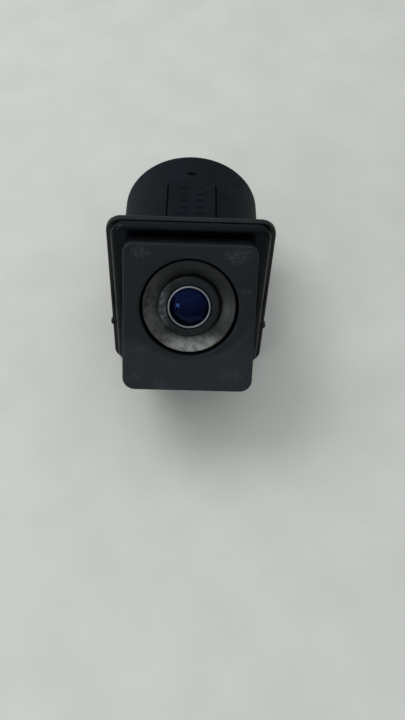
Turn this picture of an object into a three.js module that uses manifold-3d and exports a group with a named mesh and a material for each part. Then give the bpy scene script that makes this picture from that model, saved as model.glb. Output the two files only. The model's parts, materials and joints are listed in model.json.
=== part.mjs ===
// Backup camera: a sealed vehicle camera with a tilted lens block, a flange with a rubber gasket,
// a round rear housing and a four-way connector socket, together with everything inside it.
//
// Millimetres, +Z up. The camera lies on a flat surface at z = 0, resting on the lower edge of
// its gasket and on the rear rim of its round housing, with the lens block towards -Y.
//
// Two frames are used. In the housing frame +Y runs back along the axis of the round housing and
// y = 0 is the joint between flange plate and gasket. In the lens frame +Y runs inwards along
// the lens axis, y = 0 is the lens face, and z = 0 is the centre of the lens.

import * as THREE from 'three';
import { mergeVertices } from 'three/addons/utils/BufferGeometryUtils.js';
import Module from 'manifold-3d';

const wasm = await Module();
wasm.setup();

// ---- Driving dimensions ----

const GAP = 0.3; // clearance between pieces that touch

const BLOCK_WIDTH = 25.6;
const FACE_BELOW = 16.77; // lens centre to the face's lower edge
const FACE_ABOVE = 12.33; // lens centre to the face's upper edge
const FACE_TOP_CORNER = 1.8;
const FACE_LOW_CORNER = 2.4;
const BLOCK_WALL = 1.8;
const FACE_WALL = 2.0;
const LENS_TILT = THREE.MathUtils.degToRad(31.7); // lens axis above the housing axis
const LENS_Y = -13.86; // lens centre on the face, in the housing frame
const LENS_Z = 11.1;

const DISH_RADIUS = 14.1; // shallow round recess of the face, above the chin
const DISH_CENTRE_Z = 3.53;
const DISH_DEPTH = 0.25;
const LENS_WELL_RADIUS = 9.57;
const LENS_WELL_DEPTH = 4.2;
const LENS_BOSS_RADIUS = 11.3;
const LENS_BOSS_END = 5.5;
const LENS_HOLE_RADIUS = 6.7;

const PLATE_WIDTH = 31.4;
const PLATE_TOP = 20.85;
const PLATE_BOTTOM = -20;
const PLATE_THICKNESS = 1.85;
const PLATE_REAR = -GAP / 2;
const PLATE_FRONT = PLATE_REAR - PLATE_THICKNESS;
const PLATE_TOP_CORNER = 2.6;
const PLATE_LOW_CORNER = 3.2;

const GASKET_WIDTH = 33.4;
const GASKET_HEIGHT = 42;
const GASKET_TOP_CORNER = 3.1;
const GASKET_LOW_CORNER = 3.7;
const GASKET_FRONT = GAP / 2;
const GASKET_REAR = 1.5;
const GASKET_HOLE_RADIUS = 15.7;
const NUB_RADIUS = 0.9;
const NUB_Z = -8.4;
const NUB_INSET = 0.45; // how far the nub's centre lies inside the gasket's edge

const SPIGOT_RADIUS = 13.4;
const SPIGOT_BORE = 12.2;
const SPIGOT_END = 2.6;

const BARREL_RADIUS = 15.33;
const BARREL_BORE = 13.73;
const BARREL_FRONT = 1.2;
const BARREL_END = 29.6;
const BARREL_RIM_ROUND = 1;
const REAR_WALL = 2;
const REAR_WALL_FRONT = BARREL_END - REAR_WALL;

const PAD_WIDTH = 9.8; // raised flat on top of the round housing
const PAD_TOP = 15.45;
const PAD_START = 1.8;
const PAD_END = 20;
const BAR_HEIGHT = 0.15; // raised bars on the pad
const BAR_WIDTH = 1.6;
const BAR_LENGTH = 1.3;
const BAR_PITCH = 2.1;
const BAR_COLUMN_X = 1.75;
const BARS_PER_COLUMN = 7;
const FIRST_BAR_Y = 5;
const DIMPLE_Y = 22.8;
const DIMPLE_RADIUS = 0.8;
const DIMPLE_WIDER = 1.5; // the dimple is wider across the housing and narrower along it
const DIMPLE_SHORTER = 0.75;
const DIMPLE_DEPTH = 0.7;

const SHROUD_RADIUS = 8.3;
const SHROUD_BORE = 6.7;
const SHROUD_END = 38.5;
const RAMP_START = 32.4; // ramp that the plug's latch snaps over
const RAMP_LENGTH = 4.8;
const RAMP_HEIGHT = 1.3;
const RAMP_WIDTH = 4.4;
const CARRIER_END = 30.4;
const CARRIER_FLANGE = 8.4;
const PIN_OFFSET = 2.1;
const PIN_SIZE = 0.9;
const PIN_TIP = 33.6;

const VENT_RADIUS = 1.8;
const VENT_Z = -12.1;

const POST_CIRCLE = 10.9; // radius of the circle the board posts stand on
const POST_RADIUS = 1.5;
const POST_ANGLES = [90, 210, 330];
const PROCESSOR_BOARD_FRONT = 12;
const PROCESSOR_BOARD_REAR = 13.2;
const PROCESSOR_BOARD_RADIUS = 12.6;

const LENS_HEAD_RADIUS = 6;
const LENS_BODY_RADIUS = 5.6;
const LENS_BARREL_END = 11.7;
const IMAGER_BOARD_FRONT = 15;
const IMAGER_BOARD_REAR = 16;
const HOLDER_SCREWS = [[5.65, -4.6], [-5.65, 3.2]]; // x and z in the lens frame

const ROUND_STEPS = 48; // steps round a large circle
const SMALL_STEPS = 24; // steps round a small one
const CORNER_STEPS = 5; // steps round a quarter corner
const FAR = 60; // longer than anything that is cut

// The gasket's lower rear edge and the start of the rear rim's rounding touch the surface.
const RIM_CONTACT_Y = BARREL_END - BARREL_RIM_ROUND;
const LIE_ANGLE = Math.atan2(GASKET_HEIGHT / 2 - BARREL_RADIUS, RIM_CONTACT_Y - GASKET_REAR);

// ---- Materials ----

function material(color, roughness, metalness = 0) {
  return new THREE.MeshStandardMaterial({ color, roughness, metalness });
}

const housingPlastic = material(0x15181b, 0.5);
const rearPlastic = material(0x14171a, 0.55);
const rubber = material(0x0d0e10, 0.85);
const trimPlastic = material(0x1c1f22, 0.22);
const lensBlack = material(0x0b0c0e, 0.35);
const brightMetal = material(0xb9bec4, 0.25, 1);
const coatedGlass = material(0x0b1436, 0.05);
const clearGlass = material(0xa8b8c0, 0.05);
const filterGlass = material(0x7fb0b8, 0.08);
const blackShim = material(0x08090a, 0.7);
const holderPlastic = material(0x1a1a1c, 0.6);
const boardGreen = material(0x0f4a2a, 0.5);
const chipBlack = material(0x16171a, 0.45);
const sensorCeramic = material(0x3a3d45, 0.3);
const tinPlate = material(0xc4c7c9, 0.35, 1);
const screwSteel = material(0x9da2a8, 0.3, 1);
const flexAmber = material(0xb8641c, 0.4);
const socketCream = material(0xd8d2c0, 0.5);
const capacitorYellow = material(0xd09a2c, 0.5);
const carrierGrey = material(0x3b4046, 0.55);
const sealOrange = material(0xb5521e, 0.7);
const ventWhite = material(0xd9dcdc, 0.8);

// ---- Solids ----

function solid(geometry) {
  const bare = geometry.clone();
  bare.deleteAttribute('normal');
  bare.deleteAttribute('uv');
  const merged = mergeVertices(bare, 1e-4);
  const index = merged.index.array;
  const triVerts = [];
  for (let i = 0; i < index.length; i += 3) {
    const [a, b, c] = [index[i], index[i + 1], index[i + 2]];
    const isFlat = a === b || b === c || c === a; // the triangles at a pole
    if (!isFlat) triVerts.push(a, b, c);
  }
  const vertProperties = merged.attributes.position.array;
  const build = (indices) => new wasm.Manifold(
    new wasm.Mesh({ numProp: 3, vertProperties, triVerts: new Uint32Array(indices) }),
  );
  const result = build(triVerts);
  return result.volume() > 0 ? result : build(triVerts.reverse());
}

function geometryOf(body) {
  const mesh = body.getMesh();
  const geometry = new THREE.BufferGeometry();
  geometry.setAttribute('position', new THREE.BufferAttribute(mesh.vertProperties, mesh.numProp));
  geometry.setIndex(new THREE.BufferAttribute(mesh.triVerts, 1));
  geometry.computeVertexNormals();
  return geometry;
}

function piece(name, body, look) {
  const mesh = new THREE.Mesh(geometryOf(body), look);
  mesh.name = name;
  return mesh;
}

// A box given by its middle in x and z, its sizes, and where it starts and ends along y.
function box(x, z, width, height, yStart, yEnd) {
  const geometry = new THREE.BoxGeometry(width, yEnd - yStart, height);
  geometry.translate(x, (yStart + yEnd) / 2, z);
  return solid(geometry);
}

// An outline in x and z, made solid from yStart to yEnd.
function slab(shape, yStart, yEnd) {
  const geometry = new THREE.ExtrudeGeometry(shape, {
    depth: yEnd - yStart,
    bevelEnabled: false,
    curveSegments: CORNER_STEPS,
  });
  geometry.rotateX(Math.PI / 2);
  geometry.translate(0, yEnd, 0);
  return solid(geometry);
}

// A cylinder along y.
function rod(x, z, radius, yStart, yEnd, steps = SMALL_STEPS) {
  const geometry = new THREE.CylinderGeometry(radius, radius, yEnd - yStart, steps);
  geometry.translate(x, (yStart + yEnd) / 2, z);
  return solid(geometry);
}

// A profile of [radius, y] points turned about the y axis. Unless it starts and ends on the
// axis, it is closed on itself.
function turned(profile, steps = SMALL_STEPS) {
  const points = profile.map(([radius, y]) => new THREE.Vector2(radius, y));
  const onAxis = points[0].x === 0 && points.at(-1).x === 0;
  if (!onAxis) points.push(points[0].clone());
  return solid(new THREE.LatheGeometry(points, steps));
}

function ring(inner, outer, yStart, yEnd, steps = SMALL_STEPS) {
  return turned([[inner, yStart], [outer, yStart], [outer, yEnd], [inner, yEnd]], steps);
}

function oRing(radius, thickness, y) {
  const geometry = new THREE.TorusGeometry(radius, thickness, 10, ROUND_STEPS);
  geometry.rotateX(Math.PI / 2);
  geometry.translate(0, y, 0);
  return solid(geometry);
}

function roundedRectangle(left, right, low, high, lowCorner, topCorner) {
  const shape = new THREE.Shape();
  shape.absarc(right - topCorner, high - topCorner, topCorner, 0, Math.PI / 2);
  shape.absarc(left + topCorner, high - topCorner, topCorner, Math.PI / 2, Math.PI);
  shape.absarc(left + lowCorner, low + lowCorner, lowCorner, Math.PI, 1.5 * Math.PI);
  shape.absarc(right - lowCorner, low + lowCorner, lowCorner, 1.5 * Math.PI, 2 * Math.PI);
  shape.closePath();
  return shape;
}

// Points on an arc in a [radius, y] profile, from one angle to another in degrees.
function arc(centreRadius, centreY, size, fromAngle, toAngle, steps) {
  const points = [];
  for (let i = 0; i <= steps; i += 1) {
    const angle = THREE.MathUtils.degToRad(fromAngle + ((toAngle - fromAngle) * i) / steps);
    points.push([centreRadius + size * Math.cos(angle), centreY + size * Math.sin(angle)]);
  }
  return points;
}

// Points of a lens surface from the axis to its edge. A positive sag makes the edge lie deeper.
function lensSurface(edgeRadius, apexY, sag, steps = 5) {
  const points = [];
  for (let i = 0; i <= steps; i += 1) {
    const share = i / steps;
    points.push([edgeRadius * share, apexY + sag * share * share]);
  }
  return points;
}

// A lens element from its front and back surfaces, each given by apex depth and sag.
function lensElement(radius, front, back) {
  const frontPoints = lensSurface(radius, front.apex, front.sag);
  const backPoints = lensSurface(radius, back.apex, back.sag).reverse();
  return turned([...frontPoints, ...backPoints]);
}

// A screw with its head at the front or the back of its shank.
function screw(x, z, headRadius, shankRadius, headFrom, headTo, shankTo) {
  const head = rod(x, z, headRadius, Math.min(headFrom, headTo), Math.max(headFrom, headTo), 16);
  const driver = rod(x, z, headRadius * 0.45, headFrom - 0.4, headFrom + 0.4, 6);
  const shank = rod(x, z, shankRadius, Math.min(headTo, shankTo), Math.max(headTo, shankTo), 12);
  return head.add(shank).subtract(driver);
}

// ---- Frames ----

const housingFrame = new THREE.Group();
const lensFrame = new THREE.Group();
lensFrame.position.set(0, LENS_Y, LENS_Z);
lensFrame.rotation.x = -LENS_TILT;
lensFrame.updateMatrix();
housingFrame.add(lensFrame);

// A body made in the lens frame, moved to where the housing frame has it.
function fromLensFrame(body) {
  const geometry = geometryOf(body);
  geometry.applyMatrix4(lensFrame.matrix);
  return solid(geometry);
}

// ---- Housings and seals ----

function blockOutline(inset) {
  const half = BLOCK_WIDTH / 2 - inset;
  const lowCorner = Math.max(FACE_LOW_CORNER - inset, 0.8);
  const topCorner = Math.max(FACE_TOP_CORNER - inset, 0.8);
  return roundedRectangle(-half, half, -FACE_BELOW + inset, FACE_ABOVE - inset, lowCorner, topCorner);
}

function frontHousing() {
  const intoPlate = 0.6;
  const aheadOfPlate = box(0, 0, FAR, 2 * FAR, -FAR, PLATE_FRONT + intoPlate);
  const block = fromLensFrame(slab(blockOutline(0), 0, FAR)).intersect(aheadOfPlate);
  const hollow = fromLensFrame(slab(blockOutline(BLOCK_WALL), FACE_WALL, FAR)).intersect(aheadOfPlate);
  const plate = slab(
    roundedRectangle(
      -PLATE_WIDTH / 2, PLATE_WIDTH / 2, PLATE_BOTTOM, PLATE_TOP,
      PLATE_LOW_CORNER, PLATE_TOP_CORNER,
    ),
    PLATE_FRONT,
    PLATE_REAR,
  );
  const spigot = ring(SPIGOT_BORE - 1, SPIGOT_RADIUS, PLATE_REAR - 1, SPIGOT_END, ROUND_STEPS);
  const bore = rod(0, 0, SPIGOT_BORE, PLATE_FRONT + intoPlate / 2, SPIGOT_END + 1, ROUND_STEPS);
  const boss = ring(LENS_HOLE_RADIUS - 1, LENS_BOSS_RADIUS, 1, LENS_BOSS_END, ROUND_STEPS);
  const well = rod(0, 0, LENS_WELL_RADIUS, -1, LENS_WELL_DEPTH, ROUND_STEPS);
  const hole = rod(0, 0, LENS_HOLE_RADIUS, -1, LENS_BOSS_END + 1, ROUND_STEPS);
  const dish = rod(0, DISH_CENTRE_Z, DISH_RADIUS, -1, DISH_DEPTH, 2 * ROUND_STEPS);
  return block
    .add(plate)
    .add(spigot)
    .subtract(hollow)
    .subtract(bore)
    .add(fromLensFrame(boss))
    .subtract(fromLensFrame(well.add(hole).add(dish)));
}

function flangeGasket() {
  const half = GASKET_WIDTH / 2;
  const outline = roundedRectangle(
    -half, half, -GASKET_HEIGHT / 2, GASKET_HEIGHT / 2, GASKET_LOW_CORNER, GASKET_TOP_CORNER,
  );
  let gasket = slab(outline, GASKET_FRONT, GASKET_REAR);
  for (const side of [-1, 1]) {
    gasket = gasket.add(rod(side * (half - NUB_INSET), NUB_Z, NUB_RADIUS, GASKET_FRONT, GASKET_REAR, 16));
  }
  return gasket.subtract(
    rod(0, 0, GASKET_HOLE_RADIUS, GASKET_FRONT - 1, GASKET_REAR + 1, ROUND_STEPS),
  );
}

function raisedPad() {
  const padLow = BARREL_RADIUS - REAR_WALL / 2;
  const middle = (padLow + PAD_TOP) / 2;
  let pad = box(0, middle, PAD_WIDTH, PAD_TOP - padLow, PAD_START, PAD_END);
  for (const side of [-1, 1]) {
    for (let i = 0; i < BARS_PER_COLUMN; i += 1) {
      const start = FIRST_BAR_Y + i * BAR_PITCH;
      const bar = box(side * BAR_COLUMN_X, PAD_TOP, BAR_WIDTH, 2 * BAR_HEIGHT, start, start + BAR_LENGTH);
      pad = pad.add(bar);
    }
  }
  return pad;
}

function postPositions() {
  return POST_ANGLES.map((degrees) => {
    const angle = THREE.MathUtils.degToRad(degrees);
    return [POST_CIRCLE * Math.cos(angle), POST_CIRCLE * Math.sin(angle)];
  });
}

function rearHousing() {
  const rim = arc(
    BARREL_RADIUS - BARREL_RIM_ROUND, BARREL_END - BARREL_RIM_ROUND, BARREL_RIM_ROUND, 0, 90, 3,
  );
  const shell = turned([
    [BARREL_BORE, BARREL_FRONT],
    [BARREL_RADIUS, BARREL_FRONT],
    ...rim,
    [SHROUD_RADIUS, BARREL_END],
    [SHROUD_RADIUS, SHROUD_END],
    [SHROUD_BORE, SHROUD_END],
    [SHROUD_BORE, REAR_WALL_FRONT],
    [BARREL_BORE, REAR_WALL_FRONT],
  ], ROUND_STEPS);
  let housing = shell.add(raisedPad());

  const postStart = PROCESSOR_BOARD_REAR + GAP;
  for (const [x, z] of postPositions()) {
    housing = housing
      .add(rod(x, z, POST_RADIUS, postStart, REAR_WALL_FRONT + 1, 16))
      .subtract(rod(x, z, 0.85, postStart - 1, postStart + 7, 12));
  }

  // Ribs that stop the plug turning, and the ramp that its latch snaps over.
  for (const side of [-1, 1]) {
    housing = housing.add(box(side * SHROUD_RADIUS, 0, 1.6, 1.8, BARREL_END - 0.5, SHROUD_END - 2));
  }
  const ramp = new THREE.Shape([
    new THREE.Vector2(RAMP_START, SHROUD_RADIUS - 0.6),
    new THREE.Vector2(RAMP_START + RAMP_LENGTH, SHROUD_RADIUS - 0.6),
    new THREE.Vector2(RAMP_START + 1, SHROUD_RADIUS + RAMP_HEIGHT),
    new THREE.Vector2(RAMP_START, SHROUD_RADIUS + RAMP_HEIGHT),
  ]);
  housing = housing.add(acrossX(ramp, RAMP_WIDTH));

  const vent = rod(0, VENT_Z, VENT_RADIUS + GAP, BARREL_END - 0.7, BARREL_END + 1);
  const ventHole = rod(0, VENT_Z, 0.6, REAR_WALL_FRONT - 1, BARREL_END + 1, 12);
  const dimple = new THREE.CylinderGeometry(DIMPLE_RADIUS, DIMPLE_RADIUS, 2 * DIMPLE_DEPTH, 16);
  dimple.rotateX(Math.PI / 2);
  dimple.scale(DIMPLE_WIDER, DIMPLE_SHORTER, 1);
  dimple.translate(0, DIMPLE_Y, BARREL_RADIUS);
  return housing.subtract(vent).subtract(ventHole).subtract(solid(dimple));
}

// An outline in y and z, made solid across x and centred on x = 0.
function acrossX(shape, width) {
  const geometry = new THREE.ExtrudeGeometry(shape, { depth: width, bevelEnabled: false });
  geometry.translate(0, 0, -width / 2);
  const yzToShape = new THREE.Matrix4().makeBasis(
    new THREE.Vector3(0, 1, 0), new THREE.Vector3(0, 0, 1), new THREE.Vector3(1, 0, 0),
  );
  geometry.applyMatrix4(yzToShape);
  return solid(geometry);
}

housingFrame.add(
  piece('front_housing', frontHousing(), housingPlastic),
  piece('flange_gasket', flangeGasket(), rubber),
  piece('rear_housing', rearHousing(), rearPlastic),
  piece('housing_seal', ring(13.8, 15.2, GAP / 2, BARREL_FRONT - GAP, ROUND_STEPS), rubber),
  piece('vent_membrane', rod(0, VENT_Z, VENT_RADIUS, BARREL_END - 0.4, BARREL_END - 0.1), ventWhite),
);

// ---- Connector ----

const pinPlaces = [
  [-PIN_OFFSET, PIN_OFFSET], [PIN_OFFSET, PIN_OFFSET],
  [-PIN_OFFSET, -PIN_OFFSET], [PIN_OFFSET, -PIN_OFFSET],
];

function terminalCarrier() {
  const seat = REAR_WALL_FRONT - GAP;
  let carrier = turned([
    [0, seat - 1.3], [CARRIER_FLANGE, seat - 1.3], [CARRIER_FLANGE, seat],
    [SHROUD_BORE - GAP, seat], [SHROUD_BORE - GAP, CARRIER_END], [0, CARRIER_END],
  ], ROUND_STEPS);
  const slot = PIN_SIZE + 2 * GAP;
  for (const [x, z] of pinPlaces) {
    carrier = carrier.subtract(box(x, z, slot, slot, seat - 3, CARRIER_END + 1));
  }
  return carrier;
}

function terminalPin(x, z) {
  const tipLength = 1;
  const body = box(x, z, PIN_SIZE, PIN_SIZE, PROCESSOR_BOARD_REAR + GAP, PIN_TIP - tipLength);
  const tip = new THREE.CylinderGeometry(PIN_SIZE * 0.3, PIN_SIZE * Math.SQRT1_2, tipLength, 4);
  tip.rotateY(Math.PI / 4);
  tip.translate(x, PIN_TIP - tipLength / 2, z);
  return body.add(solid(tip));
}

const sealInner = 5;
const sealOuter = SHROUD_BORE - GAP;
const sealStart = CARRIER_END + GAP;
const connectorSeal = turned([
  [sealInner + 0.4, sealStart], [sealOuter, sealStart], [sealOuter, sealStart + 2],
  [sealInner + 0.4, sealStart + 2], [sealInner, sealStart + 1.6], [sealInner + 0.4, sealStart + 1.2],
  [sealInner, sealStart + 0.8], [sealInner + 0.4, sealStart + 0.4],
], ROUND_STEPS);

housingFrame.add(
  piece('terminal_carrier', terminalCarrier(), carrierGrey),
  piece('connector_seal', connectorSeal, sealOrange),
);
pinPlaces.forEach(([x, z], i) => {
  housingFrame.add(piece(`terminal_pin_${i + 1}`, terminalPin(x, z), tinPlate));
});

// ---- Lens, from the face inwards ----

const lensBarrel = turned([
  [4.47, 1.25], [5.7, 1.25], [LENS_HEAD_RADIUS, 1.55], [LENS_HEAD_RADIUS, 4.2],
  [5.2, 4.2], [5.2, 5.7], [LENS_BODY_RADIUS, 5.7], [LENS_BODY_RADIUS, LENS_BARREL_END],
  [3.3, LENS_BARREL_END], [3.3, 3.5], [4, 3.5], [4, 1.95], [4.47, 1.95],
], ROUND_STEPS);

const trimRing = turned([
  [6.35, 2.45], [7.1, 2.2], [7.8, 1.9], [8.4, 1.6], [8.8, 1.4],
  [9.1, 1.4], [9.1, LENS_WELL_DEPTH - GAP], [6.35, LENS_WELL_DEPTH - GAP],
], ROUND_STEPS);

lensFrame.add(
  piece('lens_trim_ring', trimRing, trimPlastic),
  piece('lens_barrel', lensBarrel, lensBlack),
  piece('lens_retaining_ring', ring(3.84, 4.17, 1.05, 1.65, ROUND_STEPS), brightMetal),
  piece(
    'front_lens_element',
    lensElement(3.7, { apex: 0.9, sag: 1.1 }, { apex: 2.4, sag: 0.8 }),
    coatedGlass,
  ),
  piece('lens_element_2', lensElement(3, { apex: 3.8, sag: 0.3 }, { apex: 4.6, sag: 0.3 }), clearGlass),
  piece('lens_spacer_1', ring(2.4, 3, 5.2, 6), blackShim),
  piece('aperture_stop', ring(0.8, 3, 6.3, 6.6), blackShim),
  piece('lens_element_3', lensElement(3, { apex: 6.9, sag: 0.5 }, { apex: 8.5, sag: -0.4 }), clearGlass),
  piece('lens_spacer_2', ring(2.4, 3, 8.8, 9.3), blackShim),
  piece('lens_element_4', lensElement(3, { apex: 9.6, sag: 0.4 }, { apex: 10.9, sag: -0.3 }), clearGlass),
  piece('lens_lock_ring', ring(2.3, 3, 11.2, 11.6), brightMetal),
  piece('lens_seal_ring', oRing(5.95, 0.42, 4.95), rubber),
);

// ---- Imager ----

const HOLDER_SEAT = IMAGER_BOARD_FRONT - GAP;
const FILTER_LEDGE = 12.85;

function lensHolder() {
  const base = slab(roundedRectangle(-6.8, 6.8, -6.8, 5.3, 0.8, 0.8), 11.5, HOLDER_SEAT);
  let holder = rod(0, 0, 7, 6.2, 12.7, ROUND_STEPS)
    .add(base)
    .subtract(rod(0, 0, LENS_BODY_RADIUS + GAP, 5, FILTER_LEDGE, ROUND_STEPS))
    .subtract(box(0, 0, 5, 5, 12, HOLDER_SEAT + 1))
    .subtract(box(0, 0, 9, 9, FILTER_LEDGE + 0.4, HOLDER_SEAT + 1));
  for (const [x, z] of HOLDER_SCREWS) {
    holder = holder.subtract(rod(x, z, 0.85, 12.8, HOLDER_SEAT + 1, 12));
  }
  return holder;
}

function imagerBoard() {
  let board = slab(roundedRectangle(-7.5, 7.5, -8, 5.5, 0.8, 0.8), IMAGER_BOARD_FRONT, IMAGER_BOARD_REAR);
  for (const [x, z] of HOLDER_SCREWS) {
    board = board.subtract(rod(x, z, 0.85, IMAGER_BOARD_FRONT - 1, IMAGER_BOARD_REAR + 1, 12));
  }
  return board;
}

const imagerSocketZ = -5.8;
const imagerSocketEnd = IMAGER_BOARD_REAR + GAP + 1.2;

lensFrame.add(
  piece('lens_holder', lensHolder(), holderPlastic),
  piece('ir_filter', box(0, 0, 6.4, 6.4, 12.15, 12.55), filterGlass),
  piece('sensor_cover_glass', box(0, 0, 6.4, 6.4, 13.5, 13.8), clearGlass),
  piece('image_sensor', box(0, 0, 7.2, 7.2, 14.1, HOLDER_SEAT), sensorCeramic),
  piece('imager_board', imagerBoard(), boardGreen),
  piece(
    'imager_flex_socket',
    box(0, imagerSocketZ, 7, 2, IMAGER_BOARD_REAR + GAP, imagerSocketEnd),
    socketCream,
  ),
);
HOLDER_SCREWS.forEach(([x, z], i) => {
  const headSeat = IMAGER_BOARD_REAR + GAP;
  const body = screw(x, z, 1.3, 0.55, headSeat + 0.8, headSeat, 13.4);
  lensFrame.add(piece(`holder_screw_${i + 1}`, body, screwSteel));
});

// ---- Processor board and the flexible strip to it ----

function processorBoard() {
  let board = rod(0, 0, PROCESSOR_BOARD_RADIUS, PROCESSOR_BOARD_FRONT, PROCESSOR_BOARD_REAR, ROUND_STEPS);
  for (const [x, z] of postPositions()) {
    board = board.subtract(rod(x, z, 0.85, PROCESSOR_BOARD_FRONT - 1, PROCESSOR_BOARD_REAR + 1, 12));
  }
  return board;
}

function emiShield() {
  const seat = PROCESSOR_BOARD_FRONT - GAP;
  const outside = box(0, 0, 15, 15, seat - 3.5, seat);
  return outside.subtract(box(0, 0, 14.4, 14.4, seat - 3.2, seat + 1));
}

// The strip leaves the imager's socket along the lens axis and enters the board's socket
// along the housing axis.
function boardFlex() {
  const start = new THREE.Vector3(0, imagerSocketEnd + GAP, imagerSocketZ).applyMatrix4(lensFrame.matrix);
  const end = new THREE.Vector2(PROCESSOR_BOARD_FRONT - GAP - 1.2 - GAP, -10.2);
  const reach = 5;
  const route = new THREE.CubicBezierCurve(
    new THREE.Vector2(start.y, start.z),
    new THREE.Vector2(
      start.y + reach * Math.cos(LENS_TILT), start.z - reach * Math.sin(LENS_TILT),
    ),
    new THREE.Vector2(end.x - reach, end.y),
    end,
  );
  const halfThickness = 0.15;
  const steps = 14;
  const upper = [];
  const lower = [];
  for (let i = 0; i <= steps; i += 1) {
    const point = route.getPoint(i / steps);
    const along = route.getTangent(i / steps);
    const across = new THREE.Vector2(-along.y, along.x).multiplyScalar(halfThickness);
    upper.push(point.clone().add(across));
    lower.unshift(point.clone().sub(across));
  }
  return acrossX(new THREE.Shape([...upper, ...lower]), 6);
}

const boardFace = PROCESSOR_BOARD_FRONT - GAP;
const boardBack = PROCESSOR_BOARD_REAR + GAP;

housingFrame.add(
  piece('board_flex', boardFlex(), flexAmber),
  piece('processor_flex_socket', box(0, -10.2, 7, 2, boardFace - 1.2, boardFace), socketCream),
  piece('processor_board', processorBoard(), boardGreen),
  piece('processor_chip', box(-1.5, 0, 8, 8, boardFace - 1.2, boardFace), chipBlack),
  piece('crystal', box(5, 2, 2.5, 3.2, boardFace - 0.8, boardFace), tinPlate),
  piece('emi_shield', emiShield(), tinPlate),
  piece('power_inductor', box(-7, 0, 4.5, 4.5, boardBack, boardBack + 2.8), chipBlack),
  piece('capacitor_1', box(7, 2.6, 3.5, 2.8, boardBack, boardBack + 1.9), capacitorYellow),
  piece('capacitor_2', box(7, -1.4, 3.5, 2.8, boardBack, boardBack + 1.9), capacitorYellow),
);
postPositions().forEach(([x, z], i) => {
  const body = screw(x, z, 1.2, 0.55, boardFace - 0.8, boardFace, boardBack + 5);
  housingFrame.add(piece(`board_screw_${i + 1}`, body, screwSteel));
});

// ---- As it lies ----

const camera = new THREE.Group();
camera.name = 'backup_camera';
housingFrame.rotation.x = -LIE_ANGLE;
camera.add(housingFrame);
camera.updateMatrixWorld(true);

// The origin is at the middle of the camera's footprint, on the surface it lies on.
const bounds = new THREE.Box3().setFromObject(camera, true);
const middle = bounds.getCenter(new THREE.Vector3());
housingFrame.position.set(-middle.x, -middle.y, -bounds.min.z);

export default camera;
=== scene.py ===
"""Looks of a small sealed backup camera lying on a pale table.

Shapes are made in millimetres in one of two frames. In the housing frame +Y runs back along the
axis of the round housing. In the lens frame +Y runs inwards along the lens axis, and y = 0 is
the lens face. Each piece is then placed in the row frame, in metres.
"""

import json
import math

import bmesh
import bpy
from mathutils import Matrix, Vector


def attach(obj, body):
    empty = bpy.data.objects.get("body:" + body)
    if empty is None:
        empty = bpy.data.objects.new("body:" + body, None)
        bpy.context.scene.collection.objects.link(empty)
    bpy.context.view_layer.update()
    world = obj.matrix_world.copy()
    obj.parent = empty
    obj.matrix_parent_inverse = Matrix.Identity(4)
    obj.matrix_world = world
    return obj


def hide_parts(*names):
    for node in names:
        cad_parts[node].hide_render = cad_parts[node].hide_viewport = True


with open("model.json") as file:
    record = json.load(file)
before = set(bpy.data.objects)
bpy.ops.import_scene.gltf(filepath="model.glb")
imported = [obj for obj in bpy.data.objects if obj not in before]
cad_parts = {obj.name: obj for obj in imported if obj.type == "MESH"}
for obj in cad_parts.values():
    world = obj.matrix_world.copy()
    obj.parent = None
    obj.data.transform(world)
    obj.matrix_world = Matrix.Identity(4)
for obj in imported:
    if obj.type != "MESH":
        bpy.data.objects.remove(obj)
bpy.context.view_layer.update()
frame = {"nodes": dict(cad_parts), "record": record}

# ---- Driving dimensions, in millimetres ----

MM = 0.001

LENS_TILT = math.radians(31.7)
LENS_Y = -13.86  # lens centre on the face, in the housing frame
LENS_Z = 11.1
GASKET_MOUNT_Y = 1.5  # where the record's mount on the gasket lies in the housing frame
GASKET_MOUNT_Z = -18.4

BLOCK_WIDTH = 25.6
FACE_BELOW = 16.77
FACE_ABOVE = 12.33
FACE_TOP_CORNER = 1.8
FACE_LOW_CORNER = 2.4
FACE_EDGE_ROUND = 0.4
BLOCK_WALL = 1.8
FACE_WALL = 2.0
BLOCK_FOOT_ROUND = 0.15

DISH_RADIUS = 14.1
DISH_CENTRE_Z = 3.53
DISH_DEPTH = 0.25
DISH_STEP = 1.5  # width of the slope at the dish's edge
WELL_RADIUS = 9.57
WELL_DEPTH = 4.2
WELL_LIP_ROUND = 0.3
BOSS_RADIUS = 11.3
BOSS_END = 5.5
HOLE_RADIUS = 6.7

PLATE_WIDTH = 31.4
PLATE_TOP = 20.85
PLATE_BOTTOM = -20
PLATE_FRONT = -2.0
PLATE_REAR = -0.15
PLATE_TOP_CORNER = 2.6
PLATE_LOW_CORNER = 3.2
PLATE_EDGE_ROUND = 0.9
SPIGOT_RADIUS = 13.4
SPIGOT_BORE = 12.2
SPIGOT_END = 2.6

GASKET_WIDTH = 33.4
GASKET_HEIGHT = 42
GASKET_FRONT = 0.15
GASKET_REAR = 1.5
GASKET_TOP_CORNER = 3.1
GASKET_LOW_CORNER = 3.7
GASKET_HOLE_RADIUS = 15.7
NUB_RADIUS = 0.9
NUB_Z = -8.4
NUB_INSET = 0.45

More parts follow.
